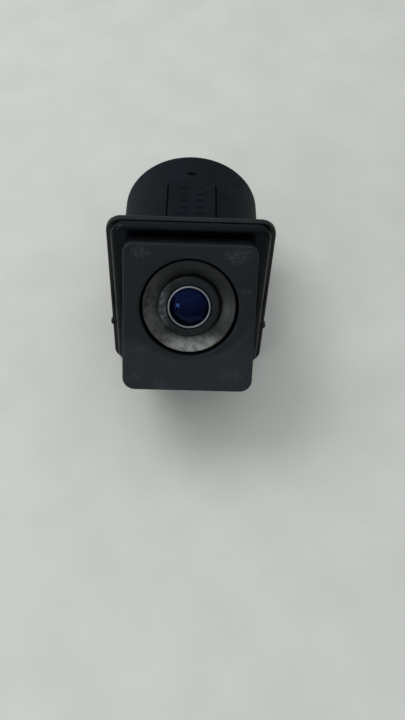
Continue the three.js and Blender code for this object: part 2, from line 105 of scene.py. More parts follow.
BARREL_RADIUS = 15.33
BARREL_BORE = 13.73
BARREL_FRONT = 1.2
BARREL_END = 29.6
BARREL_RIM_ROUND = 1
REAR_WALL_FRONT = 27.6
PAD_WIDTH = 9.8
PAD_TOP = 15.45
PAD_START = 1.8
PAD_END = 20
PAD_GROOVE = 0.36  # width of the groove along each side of the pad
BAR_HEIGHT = 0.15
BAR_WIDTH = 1.6
BAR_LENGTH = 1.3
BAR_PITCH = 2.1
BAR_COLUMN_X = 1.75
BARS_PER_COLUMN = 7
FIRST_BAR_Y = 5
DIMPLE_Y = 22.8
DIMPLE_RADIUS = 0.8
DIMPLE_WIDER = 1.5  # the dimple is this much wider across the housing, and narrower along it
DIMPLE_SHORTER = 0.75
DIMPLE_DEPTH = 0.7

SHROUD_RADIUS = 8.3
SHROUD_BORE = 6.7
SHROUD_END = 38.5
RAMP_START = 32.4
RAMP_LENGTH = 4.8
RAMP_HEIGHT = 1.3
RAMP_WIDTH = 4.4
CARRIER_RADIUS = 6.4
CARRIER_FLANGE = 8.4
CARRIER_SEAT = 27.3
CARRIER_FLANGE_DEPTH = 1.3
CARRIER_END = 30.4
PIN_OFFSET = 2.1
PIN_SIZE = 0.9
PIN_START = 13.5
PIN_TIP = 33.6
PIN_SLOT = 1.5
SEAL_INNER = 5
SEAL_START = 30.7
SEAL_LENGTH = 2
VENT_RADIUS = 1.8
VENT_Z = -12.1
VENT_RECESS = 0.7

TRIM_BORE = 6.1
TRIM_RADIUS = 9.1
TRIM_REAR = 3.9
HEAD_RADIUS = 6
HEAD_FRONT = 1.25
HEAD_REAR = 4.2
TUBE_RADIUS = 5.6
TUBE_START = 5.7
TUBE_END = 11.7
GLASS_RADIUS = 3.7
GLASS_APEX = 0.9
GLASS_SAG = 1.1
BRIGHT_RING_INNER = 3.84
BRIGHT_RING_OUTER = 4.17
BRIGHT_RING_FRONT = 1.05
BRIGHT_RING_REAR = 1.65

ROUND_STEPS = 192  # steps round a large circle
SMALL_STEPS = 96  # steps round a small one

# ---- Frames ----

mount = next(m for m in frame["record"]["mounts"] if m["name"] == "gasket_rear_face")
AXIS_X = Vector((1, 0, 0))
AXIS_Y = Vector(mount["axis"]).normalized()
AXIS_Z = AXIS_X.cross(AXIS_Y)
housing_origin = Vector(mount["pos_m"]) - MM * (GASKET_MOUNT_Y * AXIS_Y + GASKET_MOUNT_Z * AXIS_Z)
HOUSING = Matrix.Translation(housing_origin) @ Matrix((AXIS_X, AXIS_Y, AXIS_Z)).transposed().to_4x4()
LENS_IN_HOUSING = Matrix.Translation((0, LENS_Y * MM, LENS_Z * MM)) @ Matrix.Rotation(-LENS_TILT, 4, "X")
LENS = HOUSING @ LENS_IN_HOUSING
LENS_AXIS = (LENS.to_3x3() @ Vector((0, 1, 0))).normalized()
LENS_UP = (LENS.to_3x3() @ Vector((0, 0, 1))).normalized()

# ---- Outlines ----


def quarter(steps):
    """Angles from 0 to 90 degrees."""
    return [math.pi / 2 * step / steps for step in range(steps + 1)]


def rounded(corners, steps=5):
    """A closed outline of (a, b, radius) corners, each corner rounded by its radius."""
    outline = []
    for i, (a, b, radius) in enumerate(corners):
        corner = Vector((a, b))
        if radius == 0:
            outline.append(corner)
            continue
        before = (Vector(corners[i - 1][:2]) - corner).normalized()
        after = (Vector(corners[(i + 1) % len(corners)][:2]) - corner).normalized()
        half = before.angle(after) / 2
        centre = corner + (before + after).normalized() * radius / math.sin(half)
        reach = radius / math.tan(half)
        start = corner + before * reach - centre
        end = corner + after * reach - centre
        sweep = math.pi - 2 * half
        for step in range(steps + 1):
            share = step / steps
            swung = math.sin((1 - share) * sweep) * start + math.sin(share * sweep) * end
            outline.append(centre + swung / math.sin(sweep))
    return outline


def divided(outline, longest):
    """The outline with points added so that no step is longer than this."""
    points = []
    for i, point in enumerate(outline):
        following = outline[(i + 1) % len(outline)]
        count = max(1, math.ceil((following - point).length / longest))
        points += [point.lerp(following, step / count) for step in range(count)]
    return points


def stations(width, low, high, low_corner, top_corner):
    """Points round a rounded rectangle in x and z, each with its outward direction."""
    spacing = 0.4
    corner_steps = 10
    half = width / 2
    corners = [
        (half - top_corner, high - top_corner, top_corner, 0),
        (top_corner - half, high - top_corner, top_corner, 90),
        (low_corner - half, low + low_corner, low_corner, 180),
        (half - low_corner, low + low_corner, low_corner, 270),
    ]
    found = []
    for i, (x, z, radius, start) in enumerate(corners):
        for step in range(corner_steps + 1):
            angle = math.radians(start + 90 * step / corner_steps)
            outward = Vector((math.cos(angle), math.sin(angle)))
            found.append((Vector((x, z)) + radius * outward, outward))
        end = found[-1][0]
        next_x, next_z, next_radius, _ = corners[(i + 1) % 4]
        begin = Vector((next_x, next_z)) + next_radius * outward
        count = max(1, round((begin - end).length / spacing))
        found += [(end.lerp(begin, step / count), outward) for step in range(1, count)]
    return found


# ---- Shells: closed surfaces as (points, faces) ----


def grid_shell(columns):
    """A closed shell from equally long columns of points, joined round both ways."""
    length = len(columns[0])
    points = [point for column in columns for point in column]
    faces = []
    for i in range(len(columns)):
        here = i * length
        there = (i + 1) % len(columns) * length
        for j in range(length):
            up = (j + 1) % length
            faces.append((here + j, there + j, there + up, here + up))
    return points, faces


def turned(profile, steps=ROUND_STEPS, x=0, z=0):
    """A profile of (radius, y) points turned about an axis along y."""
    columns = []
    for step in range(steps):
        angle = 2 * math.pi * step / steps
        across = (math.cos(angle), math.sin(angle))
        columns.append([Vector((x + r * across[0], y, z + r * across[1])) for r, y in profile])
    return grid_shell(columns)


def shell_of(bm):
    """The points and faces of a bmesh, which is then freed."""
    bm.verts.index_update()
    points = [v.co.copy() for v in bm.verts]
    faces = [tuple(v.index for v in face.verts) for face in bm.faces]
    bm.free()
    return points, faces


def bevelled(bm, bevel):
    """A bmesh with its sharp edges rounded."""
    bm.normal_update()
    sharp = [e for e in bm.edges if e.calc_face_angle(0) > math.radians(30)]
    bmesh.ops.bevel(
        bm, geom=sharp, offset=bevel, segments=3, profile=0.5, affect="EDGES", clamp_overlap=True,
    )
    return shell_of(bm)


def block(x, z, width, height, y_start, y_end, bevel):
    """A box with rounded edges, given by its middle in x and z and where it starts and ends in y."""
    bm = bmesh.new()
    size = Matrix.Diagonal((width, y_end - y_start, height, 1))
    bmesh.ops.create_cube(bm, size=1, matrix=Matrix.Translation((x, (y_start + y_end) / 2, z)) @ size)
    return bevelled(bm, bevel)


def across_x(outline, width, bevel):
    """An outline in y and z made solid across x, with rounded edges."""
    bm = bmesh.new()
    face = bm.faces.new([bm.verts.new((-width / 2, y, z)) for y, z in outline])
    extruded = bmesh.ops.extrude_face_region(bm, geom=[face])["geom"]
    moved = [g for g in extruded if isinstance(g, bmesh.types.BMVert)]
    bmesh.ops.translate(bm, verts=moved, vec=(width, 0, 0))
    bmesh.ops.recalc_face_normals(bm, faces=bm.faces)
    return bevelled(bm, bevel)


# ---- Pieces ----


def mesh_object(name, shells, place):
    """An object from shells in millimetres, placed in the row frame by a matrix."""
    bm = bmesh.new()
    for points, faces in shells:
        verts = [bm.verts.new(place @ (Vector(point) * MM)) for point in points]
        for face in faces:
            bm.faces.new([verts[i] for i in face])
    bmesh.ops.remove_doubles(bm, verts=bm.verts, dist=0.001 * MM)
    bmesh.ops.recalc_face_normals(bm, faces=bm.faces)
    mesh = bpy.data.meshes.new(name)
    bm.to_mesh(mesh)
    bm.free()
    mesh.shade_smooth()
    obj = bpy.data.objects.new(name, mesh)
    bpy.context.scene.collection.objects.link(obj)
    return obj


def cut_away(obj, shells, place):
    """Takes shells in millimetres out of an object."""
    cutter = mesh_object(obj.name + "_cutter", shells, place)
    boolean = obj.modifiers.new("cut", "BOOLEAN")
    boolean.operation = "DIFFERENCE"
    boolean.solver = "MANIFOLD"
    boolean.object = cutter
    bpy.context.view_layer.update()
    graph = bpy.context.evaluated_depsgraph_get()
    mesh = bpy.data.meshes.new_from_object(obj.evaluated_get(graph))
    obj.modifiers.clear()
    obj.data = mesh
    obj.data.shade_smooth()
    bpy.data.objects.remove(cutter)


def finished(obj, slot, replaced):
    """Gives a piece even shading, its material and its place in the frame."""
    normals = obj.modifiers.new("even_shading", "WEIGHTED_NORMAL")
    normals.weight = 80
    normals.keep_sharp = True
    obj.data.materials.clear()
    obj.data.materials.append(materials[slot])
    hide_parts(replaced)
    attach(obj, "root")
    return obj


# ---- Front housing ----


def face_depth(point):
    """Depth of the lens face at a point in x and z: a round dish, with the chin left proud."""
    beyond = (point - Vector((0, DISH_CENTRE_Z))).length - DISH_RADIUS
    share = min(1, max(0, (beyond + DISH_STEP / 2) / DISH_STEP))
    return DISH_DEPTH * (1 - share * share * (3 - 2 * share))


def depth_of_plate(point):
    """Depth, in the lens frame, at which a line along the lens axis meets the plate's front."""
    to_front = PLATE_FRONT - LENS_Y - point.y * math.sin(LENS_TILT)
    return to_front / math.cos(LENS_TILT)


def share_to_dish(start, end):
    """How far along the line from start to end the dish's edge lies, or 1 if it isn't reached."""
    run = end - start
    from_centre = start - Vector((0, DISH_CENTRE_Z))
    a = run.dot(run)
    b = 2 * run.dot(from_centre)
    c = from_centre.dot(from_centre) - DISH_RADIUS ** 2
    return min(1, (-b + math.sqrt(b * b - 4 * a * c)) / (2 * a))


def block_column(edge, outward):
    """A section of the lens block: out of the well, over the face, down the wall and back inside."""
    towards = edge.normalized()

    def ring(radius, depth):
        return Vector((towards.x * radius, depth, towards.y * radius))

    def at(point, depth):
        return Vector((point.x, depth, point.y))

    column = [ring(HOLE_RADIUS, BOSS_END), ring(HOLE_RADIUS, WELL_DEPTH), ring(WELL_RADIUS, WELL_DEPTH)]
    for angle in quarter(4):
        radius = WELL_RADIUS + WELL_LIP_ROUND * (1 - math.cos(angle))
        column.append(ring(radius, DISH_DEPTH + WELL_LIP_ROUND * (1 - math.sin(angle))))

    start = towards * (WELL_RADIUS + WELL_LIP_ROUND)
    end = edge - FACE_EDGE_ROUND * outward
    dish = share_to_dish(start, end)
    step = DISH_STEP / 4 / (end - start).length
    shares = [0.3 * dish, 0.6 * dish, 0.85 * dish]
    shares += [dish + k * step for k in (-3, -2, -1, 0, 1, 2, 3)]
    shares += [dish + (1 - dish) * k for k in (0.35, 0.7)]
    for share in sorted(min(1, max(0, s)) for s in shares):
        point = start.lerp(end, share)
        column.append(at(point, face_depth(point)))

    top = face_depth(end)
    for angle in quarter(5):
        point = end + FACE_EDGE_ROUND * math.sin(angle) * outward
        column.append(at(point, top + FACE_EDGE_ROUND * (1 - math.cos(angle))))

    for angle in quarter(5):
        point = edge + BLOCK_FOOT_ROUND * (1 - math.cos(angle)) * outward
        column.append(at(point, depth_of_plate(point) - BLOCK_FOOT_ROUND * (1 - math.sin(angle))))

    sunk = 0.6
    foot = edge + BLOCK_FOOT_ROUND * outward
    inside = edge - BLOCK_WALL * outward
    column.append(at(foot, depth_of_plate(foot) + sunk))
    column.append(at(inside, depth_of_plate(inside) + sunk))
    column.append(at(inside, FACE_WALL))
    boss = min(BOSS_RADIUS, inside.length - 0.1)
    column.append(ring(boss, FACE_WALL))
    column.append(ring(boss, BOSS_END))
    return column


def plate_column(edge, outward):
    """A section of the flange plate and its spigot, in the housing frame."""
    towards = edge.normalized()
    bore = towards * SPIGOT_BORE
    spigot = towards * SPIGOT_RADIUS
    rear_round = 0.05
    column = [(bore, SPIGOT_END), (bore, PLATE_FRONT)]
    inset = edge - PLATE_EDGE_ROUND * outward
    for angle in quarter(6):
        point = inset + PLATE_EDGE_ROUND * math.sin(angle) * outward
        column.append((point, PLATE_FRONT + PLATE_EDGE_ROUND * (1 - math.cos(angle))))
    for angle in quarter(3):
        point = edge - rear_round * (1 - math.cos(angle)) * outward
        column.append((point, PLATE_REAR - rear_round * (1 - math.sin(angle))))
    column += [(spigot, PLATE_REAR), (spigot, SPIGOT_END)]
    return [Vector((point.x, y, point.y)) for point, y in column]


def make_front_housing():
    face = stations(BLOCK_WIDTH, -FACE_BELOW, FACE_ABOVE, FACE_LOW_CORNER, FACE_TOP_CORNER)
    block_points, block_faces = grid_shell([block_column(*station) for station in face])
    in_housing = [(LENS_IN_HOUSING @ (point * MM)) / MM for point in block_points]
    rim = stations(PLATE_WIDTH, PLATE_BOTTOM, PLATE_TOP, PLATE_LOW_CORNER, PLATE_TOP_CORNER)
    plate = grid_shell([plate_column(*station) for station in rim])
    return mesh_object("front_shell", [(in_housing, block_faces), plate], HOUSING)


# ---- Gasket ----


def gasket_column(edge, outward):
    """A section of the gasket, from its round hole to its outer edge."""
    hole = edge.normalized() * GASKET_HOLE_RADIUS
    front_round = 0.15
    rear_round = 0.3
    column = [(hole, GASKET_REAR), (hole, GASKET_FRONT)]
    for angle in quarter(4):
        point = edge - front_round * (1 - math.sin(angle)) * outward
        column.append((point, GASKET_FRONT + front_round * (1 - math.cos(angle))))
    for angle in quarter(4):
        point = edge - rear_round * (1 - math.cos(angle)) * outward
        column.append((point, GASKET_REAR - rear_round * (1 - math.sin(angle))))
    return [Vector((point.x, y, point.y)) for point, y in column]


def make_gasket():
    half = GASKET_HEIGHT / 2
    rim = stations(GASKET_WIDTH, -half, half, GASKET_LOW_CORNER, GASKET_TOP_CORNER)
    shells = [grid_shell([gasket_column(*station) for station in rim])]
    nub = rounded([
        (0, GASKET_FRONT, 0), (NUB_RADIUS, GASKET_FRONT, 0.25), (NUB_RADIUS, GASKET_REAR, 0.25),
        (0, GASKET_REAR, 0),
    ])
    for side in (-1, 1):
        shells.append(turned(nub, 48, side * (GASKET_WIDTH / 2 - NUB_INSET), NUB_Z))
    return mesh_object("gasket_skin", shells, HOUSING)


# ---- Rear housing ----


def pad_shells():
    """The raised pad on top of the round housing and its two columns of plain bars."""
    pad_low = 13.8
    middle = (pad_low + PAD_TOP) / 2
    shells = [block(0, middle, PAD_WIDTH, PAD_TOP - pad_low, PAD_START, PAD_END, 0.22)]
    for side in (-1, 1):
        for i in range(BARS_PER_COLUMN):
            start = FIRST_BAR_Y + i * BAR_PITCH
            end = start + BAR_LENGTH
            shells.append(block(side * BAR_COLUMN_X, PAD_TOP, BAR_WIDTH, 2 * BAR_HEIGHT, start, end, 0.07))
    return shells


def make_rear_housing():
    """The round shell with its shroud, and its raised details as a second piece."""
    profile = rounded([
        (BARREL_BORE, BARREL_FRONT, 0), (BARREL_RADIUS, BARREL_FRONT, 0.2),
        (BARREL_RADIUS, BARREL_END, BARREL_RIM_ROUND), (SHROUD_RADIUS, BARREL_END, 0.5),
        (SHROUD_RADIUS, SHROUD_END, 0.35), (SHROUD_BORE, SHROUD_END, 0.35),
        (SHROUD_BORE, REAR_WALL_FRONT, 0), (BARREL_BORE, REAR_WALL_FRONT, 0),
    ], 8)
    shell = mesh_object("rear_shell", [turned(divided(profile, 0.8))], HOUSING)
    floor = BARREL_END - VENT_RECESS
    clear = BARREL_END + 1
    recess_radius = VENT_RADIUS + 0.3
    recess = [(0, floor), (recess_radius, floor), (recess_radius, clear), (0, clear)]
    vent = turned(recess, 64, 0, VENT_Z)
    dimple_profile = rounded([
        (0, -DIMPLE_DEPTH, 0), (DIMPLE_RADIUS, -DIMPLE_DEPTH, 0.3), (DIMPLE_RADIUS, 1, 0), (0, 1, 0),
    ])
    dimple, dimple_faces = turned(dimple_profile, 48)
    upright = [
        Vector((p.x * DIMPLE_WIDER, DIMPLE_Y + p.z * DIMPLE_SHORTER, BARREL_RADIUS + p.y)) for p in dimple
    ]
    cutters = [vent, (upright, dimple_faces)]
    groove_height = 3
    for side in (-1, 1):
        groove_x = side * (PAD_WIDTH + PAD_GROOVE) / 2
        cutters.append(block(groove_x, PAD_TOP, PAD_GROOVE, groove_height, PAD_START + 0.2, PAD_END, 0.1))
    cut_away(shell, cutters, HOUSING)

    extras = pad_shells()
    rib_start = BARREL_END - 0.5
    rib_end = SHROUD_END - 2
    for side in (-1, 1):
        extras.append(block(side * SHROUD_RADIUS, 0, 1.6, 1.8, rib_start, rib_end, 0.25))
    ramp_foot = SHROUD_RADIUS - 0.6
    ramp_top = SHROUD_RADIUS + RAMP_HEIGHT
    ramp = [
        (RAMP_START, ramp_foot), (RAMP_START + RAMP_LENGTH, ramp_foot),
        (RAMP_START + 1, ramp_top), (RAMP_START, ramp_top),
    ]
    extras.append(across_x(ramp, RAMP_WIDTH, 0.15))
    details = mesh_object("rear_shell_details", extras, HOUSING)
    return shell, details


# ---- Connector ----


def pin_places():
    """x and z of the four terminals."""
    return [(x * PIN_OFFSET, z * PIN_OFFSET) for x, z in ((-1, 1), (1, 1), (-1, -1), (1, -1))]


def make_carrier():
    """The insulating plug that holds the terminals, with a square slot for each."""
    flange_start = CARRIER_SEAT - CARRIER_FLANGE_DEPTH
    profile = rounded([
        (0, flange_start, 0), (CARRIER_FLANGE, flange_start, 0.2),
        (CARRIER_FLANGE, CARRIER_SEAT, 0.2), (CARRIER_RADIUS, CARRIER_SEAT, 0),
        (CARRIER_RADIUS, CARRIER_END, 0.3), (0, CARRIER_END, 0),
    ])
    carrier = mesh_object("carrier_body", [turned(profile, SMALL_STEPS)], HOUSING)
    slots = [block(x, z, PIN_SLOT, PIN_SLOT, 20, 35, 0.15) for x, z in pin_places()]
    cut_away(carrier, slots, HOUSING)
    return carrier


def make_pin(number, x, z):
    """A square pin that narrows to its tip."""
    half = PIN_SIZE / 2
    tip_half = 0.45 * half
    corners = ((-1, -1), (1, -1), (1, 1), (-1, 1))
    bm = bmesh.new()
    rings = []
    for y, reach in ((PIN_START, half), (PIN_TIP - 1, half), (PIN_TIP, tip_half)):
        rings.append([bm.verts.new((x + a * reach, y, z + b * reach)) for a, b in corners])
    for low, high in zip(rings, rings[1:]):
        for i in range(4):
            j = (i + 1) % 4
            bm.faces.new((low[i], low[j], high[j], high[i]))
    bm.faces.new(rings[0][::-1])
    bm.faces.new(rings[-1])
    bmesh.ops.recalc_face_normals(bm, faces=bm.faces)
    return mesh_object(f"pin_{number}", [bevelled(bm, 0.1)], HOUSING)


def make_connector_seal():
    """A ring seal with two lips on its inner side."""
    root = SEAL_INNER + 0.4
    end = SEAL_START + SEAL_LENGTH
    profile = rounded([
        (root, SEAL_START, 0.1), (CARRIER_RADIUS, SEAL_START, 0.15), (CARRIER_RADIUS, end, 0.15),
        (root, end, 0.1), (SEAL_INNER, end - 0.4, 0.14), (root, end - 0.8, 0.1),
        (SEAL_INNER, end - 1.2, 0.14), (root, end - 1.6, 0.1),
    ])
    return mesh_object("connector_seal_ring", [turned(profile)], HOUSING)


def make_vent():
    """The breather disc in its recess in the rear wall."""
    profile = rounded([
        (0, BARREL_END - 0.4, 0), (VENT_RADIUS, BARREL_END - 0.4, 0.1),
        (VENT_RADIUS, BARREL_END - 0.1, 0.12), (0, BARREL_END - 0.1, 0),
    ])
    return mesh_object("vent_disc", [turned(profile, SMALL_STEPS, 0, VENT_Z)], HOUSING)


# ---- Lens ----


def lens_surface(radius, apex, sag):
    """Profile points of a lens surface from the axis to its edge."""
    steps = 24
    shares = [step / steps for step in range(steps + 1)]
    return [Vector((radius * share, apex + sag * share * share)) for share in shares]


def make_trim_ring():
    """The funnel round the lens head, which slopes in steps that are rounded into each other."""
    profile = rounded([
        (TRIM_BORE, 2.5, 0.16), (7.1, 2.2, 0.8), (7.8, 1.9, 0.8), (8.4, 1.6, 0.8), (8.8, 1.4, 0.12),
        (TRIM_RADIUS, 1.4, 0.12), (TRIM_RADIUS, TRIM_REAR, 0.1), (TRIM_BORE, TRIM_REAR, 0.1),
    ])
    return mesh_object("trim_funnel", [turned(profile)], LENS)


def make_lens_barrel():
    """The lens barrel: its head, the neck for the O-ring, the tube, and the stepped bore."""
    chamfer = 0.3
    neck = 5.2
    bore = 3.3
    glass_seat = 4
    mouth = BRIGHT_RING_OUTER + 0.3
    profile = rounded([
        (mouth, HEAD_FRONT, 0.05), (HEAD_RADIUS - chamfer, HEAD_FRONT, 0.1),
        (HEAD_RADIUS, HEAD_FRONT + chamfer, 0.12), (HEAD_RADIUS, HEAD_REAR, 0.1), (neck, HEAD_REAR, 0),
        (neck, TUBE_START, 0), (TUBE_RADIUS, TUBE_START, 0.1), (TUBE_RADIUS, TUBE_END, 0.2),
        (bore, TUBE_END, 0), (bore, 3.5, 0.08), (glass_seat, 3.5, 0), (glass_seat, 1.95, 0.06),
        (mouth, 1.95, 0),
    ])
    return mesh_object("lens_tube", [turned(profile)], LENS)


def make_retaining_ring():
    profile = rounded([
        (BRIGHT_RING_INNER, BRIGHT_RING_FRONT, 0.1), (BRIGHT_RING_OUTER, BRIGHT_RING_FRONT, 0.16),
        (BRIGHT_RING_OUTER, BRIGHT_RING_REAR, 0.05), (BRIGHT_RING_INNER, BRIGHT_RING_REAR, 0.05),
    ])
    return mesh_object("lens_bright_ring", [turned(profile)], LENS)


def make_front_glass():
    """The front element: domed in front and hollowed behind."""
    front = lens_surface(GLASS_RADIUS, GLASS_APEX, GLASS_SAG)
    back = lens_surface(GLASS_RADIUS, GLASS_APEX + 1.5, 0.8)[::-1]
    return mesh_object("front_glass", [turned(front + back)], LENS)


# ---- Materials ----

RUBBED_SPOTS = (  # x and z on the lens face, radius, strength
    (8.8, 10.4, 3.4, 2.8), (-9.6, 10.6, 2.4, 2.2), (-9.2, -8.2, 2.6, 1.6), (-5.2, -15.6, 2.6, 2.2),
    (8.6, -13.2, 4.2, 1.4), (-10.6, -14.2, 3, 1.2), (10.8, 3.5, 2.2, 1.0),
)
BLUISH = (0.72, 0.87, 1.0)
SATIN_GLOSS = 0.16  # how strongly the satin black mouldings reflect; 0.5 is plain plastic


class Shader:
    """A node material under construction. Its textures use the object's own space, in metres."""

    def __init__(self, name):
        self.material = bpy.data.materials.new(name)
        self.material.use_nodes = True
        self.tree = self.material.node_tree
        self.bsdf = self.tree.nodes["Principled BSDF"]
        self.space = self.node("ShaderNodeTexCoord").outputs["Object"]

    def node(self, kind, **settings):
        made = self.tree.nodes.new(kind)
        for name, value in settings.items():
            setattr(made, name, value)
        return made

    def link(self, output, socket):
        self.tree.links.new(output, socket)

    def put(self, value, socket):
        """Sets a socket from a number, a colour or another node's output."""
        if isinstance(value, bpy.types.NodeSocket):
            self.link(value, socket)
        elif isinstance(value, (tuple, list)):
            socket.default_value = (*value, 1) if len(socket.default_value) == 4 else value
        else:
            socket.default_value = value

    def stretched(self, scale, turn=(0, 0, 0)):
        """The object's space turned, then scaled differently along each axis."""
        mapping = self.node("ShaderNodeMapping", vector_type="TEXTURE")
        self.link(self.space, mapping.inputs["Vector"])
        mapping.inputs["Rotation"].default_value = turn
        mapping.inputs["Scale"].default_value = scale
        return mapping.outputs["Vector"]

    def noise(self, size, detail=2.0, space=None):
        """Noise whose features are about this many millimetres across."""
        made = self.node("ShaderNodeTexNoise")
        self.link(space or self.space, made.inputs["Vector"])
        made.inputs["Scale"].default_value = 1 / (size * MM) if space is None else 1 / size
        made.inputs["Detail"].default_value = detail
        return made.outputs["Fac"]

    def between(self, value, low, high, to_low=0.0, to_high=1.0):
        """A value carried from one range to another, smoothly and clamped."""
        made = self.node("ShaderNodeMapRange", interpolation_type="SMOOTHSTEP")
        self.link(value, made.inputs["Value"])
        for name, number in zip(("From Min", "From Max", "To Min", "To Max"), (low, high, to_low, to_high)):
            made.inputs[name].default_value = number
        return made.outputs["Result"]

    def maths(self, operation, a, b):
        made = self.node("ShaderNodeMath", operation=operation)
        self.put(a, made.inputs[0])
        self.put(b, made.inputs[1])
        return made.outputs[0]

    def mixed(self, share, first, second):
        made = self.node("ShaderNodeMix", data_type="RGBA")
        self.put(share, made.inputs["Factor"])
        self.put(first, made.inputs[6])
        self.put(second, made.inputs[7])
        return made.outputs[2]

    def bump(self, height, depth, under=None):
        """Relief of this many millimetres."""
        made = self.node("ShaderNodeBump")
        made.inputs["Distance"].default_value = depth * MM
        self.link(height, made.inputs["Height"])
        if under:
            self.link(under, made.inputs["Normal"])
        return made.outputs["Normal"]

    def vector_maths(self, operation, a, b=None):
        made = self.node("ShaderNodeVectorMath", operation=operation)
        self.link(a, made.inputs[0])
        if b is not None:
            made.inputs[1].default_value = b
        return made.outputs

    def offset(self, place):
        """The way from a point in the row frame to the shaded point, in metres."""
        return self.vector_maths("SUBTRACT", self.space, place)["Vector"]

    def from_point(self, place, stretch=(1, 1, 1)):
        """Distance in metres from a point in the row frame, measured shorter along a stretched axis."""
        scaled = self.vector_maths("DIVIDE", self.offset(place), stretch)["Vector"]
        return self.vector_maths("LENGTH", scaled)["Value"]

    def along(self, place, axis):
        """Distance in metres along an axis from a point in the row frame."""
        return self.vector_maths("DOT_PRODUCT", self.offset(place), axis)["Value"]

    def from_axis(self, place, axis):
        """Distance in metres from a line in the row frame."""
        across = self.vector_maths("CROSS_PRODUCT", self.offset(place), axis)["Vector"]
        return self.vector_maths("LENGTH", across)["Value"]

    def edges(self, radius, low, high):
        """Near 1 on outer and inner edges, and 0 on flat faces."""
        bevel = self.node("ShaderNodeBevel", samples=4)
        bevel.inputs["Radius"].default_value = radius * MM
        normal = self.node("ShaderNodeNewGeometry").outputs["Normal"]
        dot = self.node("ShaderNodeVectorMath", operation="DOT_PRODUCT")
        self.link(bevel.outputs["Normal"], dot.inputs[0])
        self.link(normal, dot.inputs[1])
        away = self.maths("SUBTRACT", 1.0, dot.outputs["Value"])
        return self.between(away, low, high)

    def set(self, **inputs):
        """Puts values on the shader's own sockets, by name with _ for a space."""
        for name, value in inputs.items():
            self.put(value, self.bsdf.inputs[name.replace("_", " ")])


def on_face(x, z):
    """A point of the lens face, given in the lens frame, as a place in the row frame."""
    return LENS @ Vector((x * MM, 0, z * MM))


def rubbed_patches(s):
    """How much paler the lens face is: a little all over, more on the chin below its dish, and in ragged
    rubbed patches.
    """
    from_dish_axis = s.from_axis(on_face(0, DISH_CENTRE_Z), LENS_AXIS)
    outside = s.between(from_dish_axis, (DISH_RADIUS - 0.7) * MM, (DISH_RADIUS + 0.5) * MM, 0.0, 0.26)
    from_flange = s.along(HOUSING.translation, AXIS_Y)
    in_front = s.between(from_flange, (PLATE_FRONT - 1.5) * MM, (PLATE_FRONT - 0.5) * MM, 1.0, 0.0)
    lower = s.between(s.along(on_face(0, 0), LENS_UP), -4 * MM, -9 * MM)
    everywhere = 0.32
    # The chin below the dish is made paler than the rest of the face.
    paler_face = s.maths("ADD", s.maths("MULTIPLY", outside, lower), everywhere)
    rubbed = s.maths("MULTIPLY", in_front, paler_face)
    ragged = s.noise(1, 4, s.stretched((1.8 * MM, 0.22 * MM, 0.22 * MM), (0.3, 0.5, 0.3)))
    for x, z, radius, strength in RUBBED_SPOTS:
        nearness = s.between(s.from_point(on_face(x, z), (1.4, 1, 0.8)), radius * MM, 0)
        patch = s.between(s.maths("ADD", s.maths("MULTIPLY", nearness, 0.14), ragged), 0.56, 0.7)
        patch = s.maths("MULTIPLY", s.maths("MULTIPLY", patch, nearness), strength)
        rubbed = s.maths("MAXIMUM", rubbed, patch)
    return rubbed


def plate_share(s):
    """1 on the flange plate, which has kept its gloss, and 0 on the lens block."""
    from_flange = s.along(HOUSING.translation, AXIS_Y)
    return s.between(from_flange, (PLATE_FRONT - 0.6) * MM, (PLATE_FRONT + 0.4) * MM)


def painted_shade_behind_face(s):
    """0 on the lens face and 1 on everything behind it, where shade is painted in as deeper black."""
    return s.between(s.along(on_face(0, 0), LENS_AXIS), 0.5 * MM, 1 * MM)


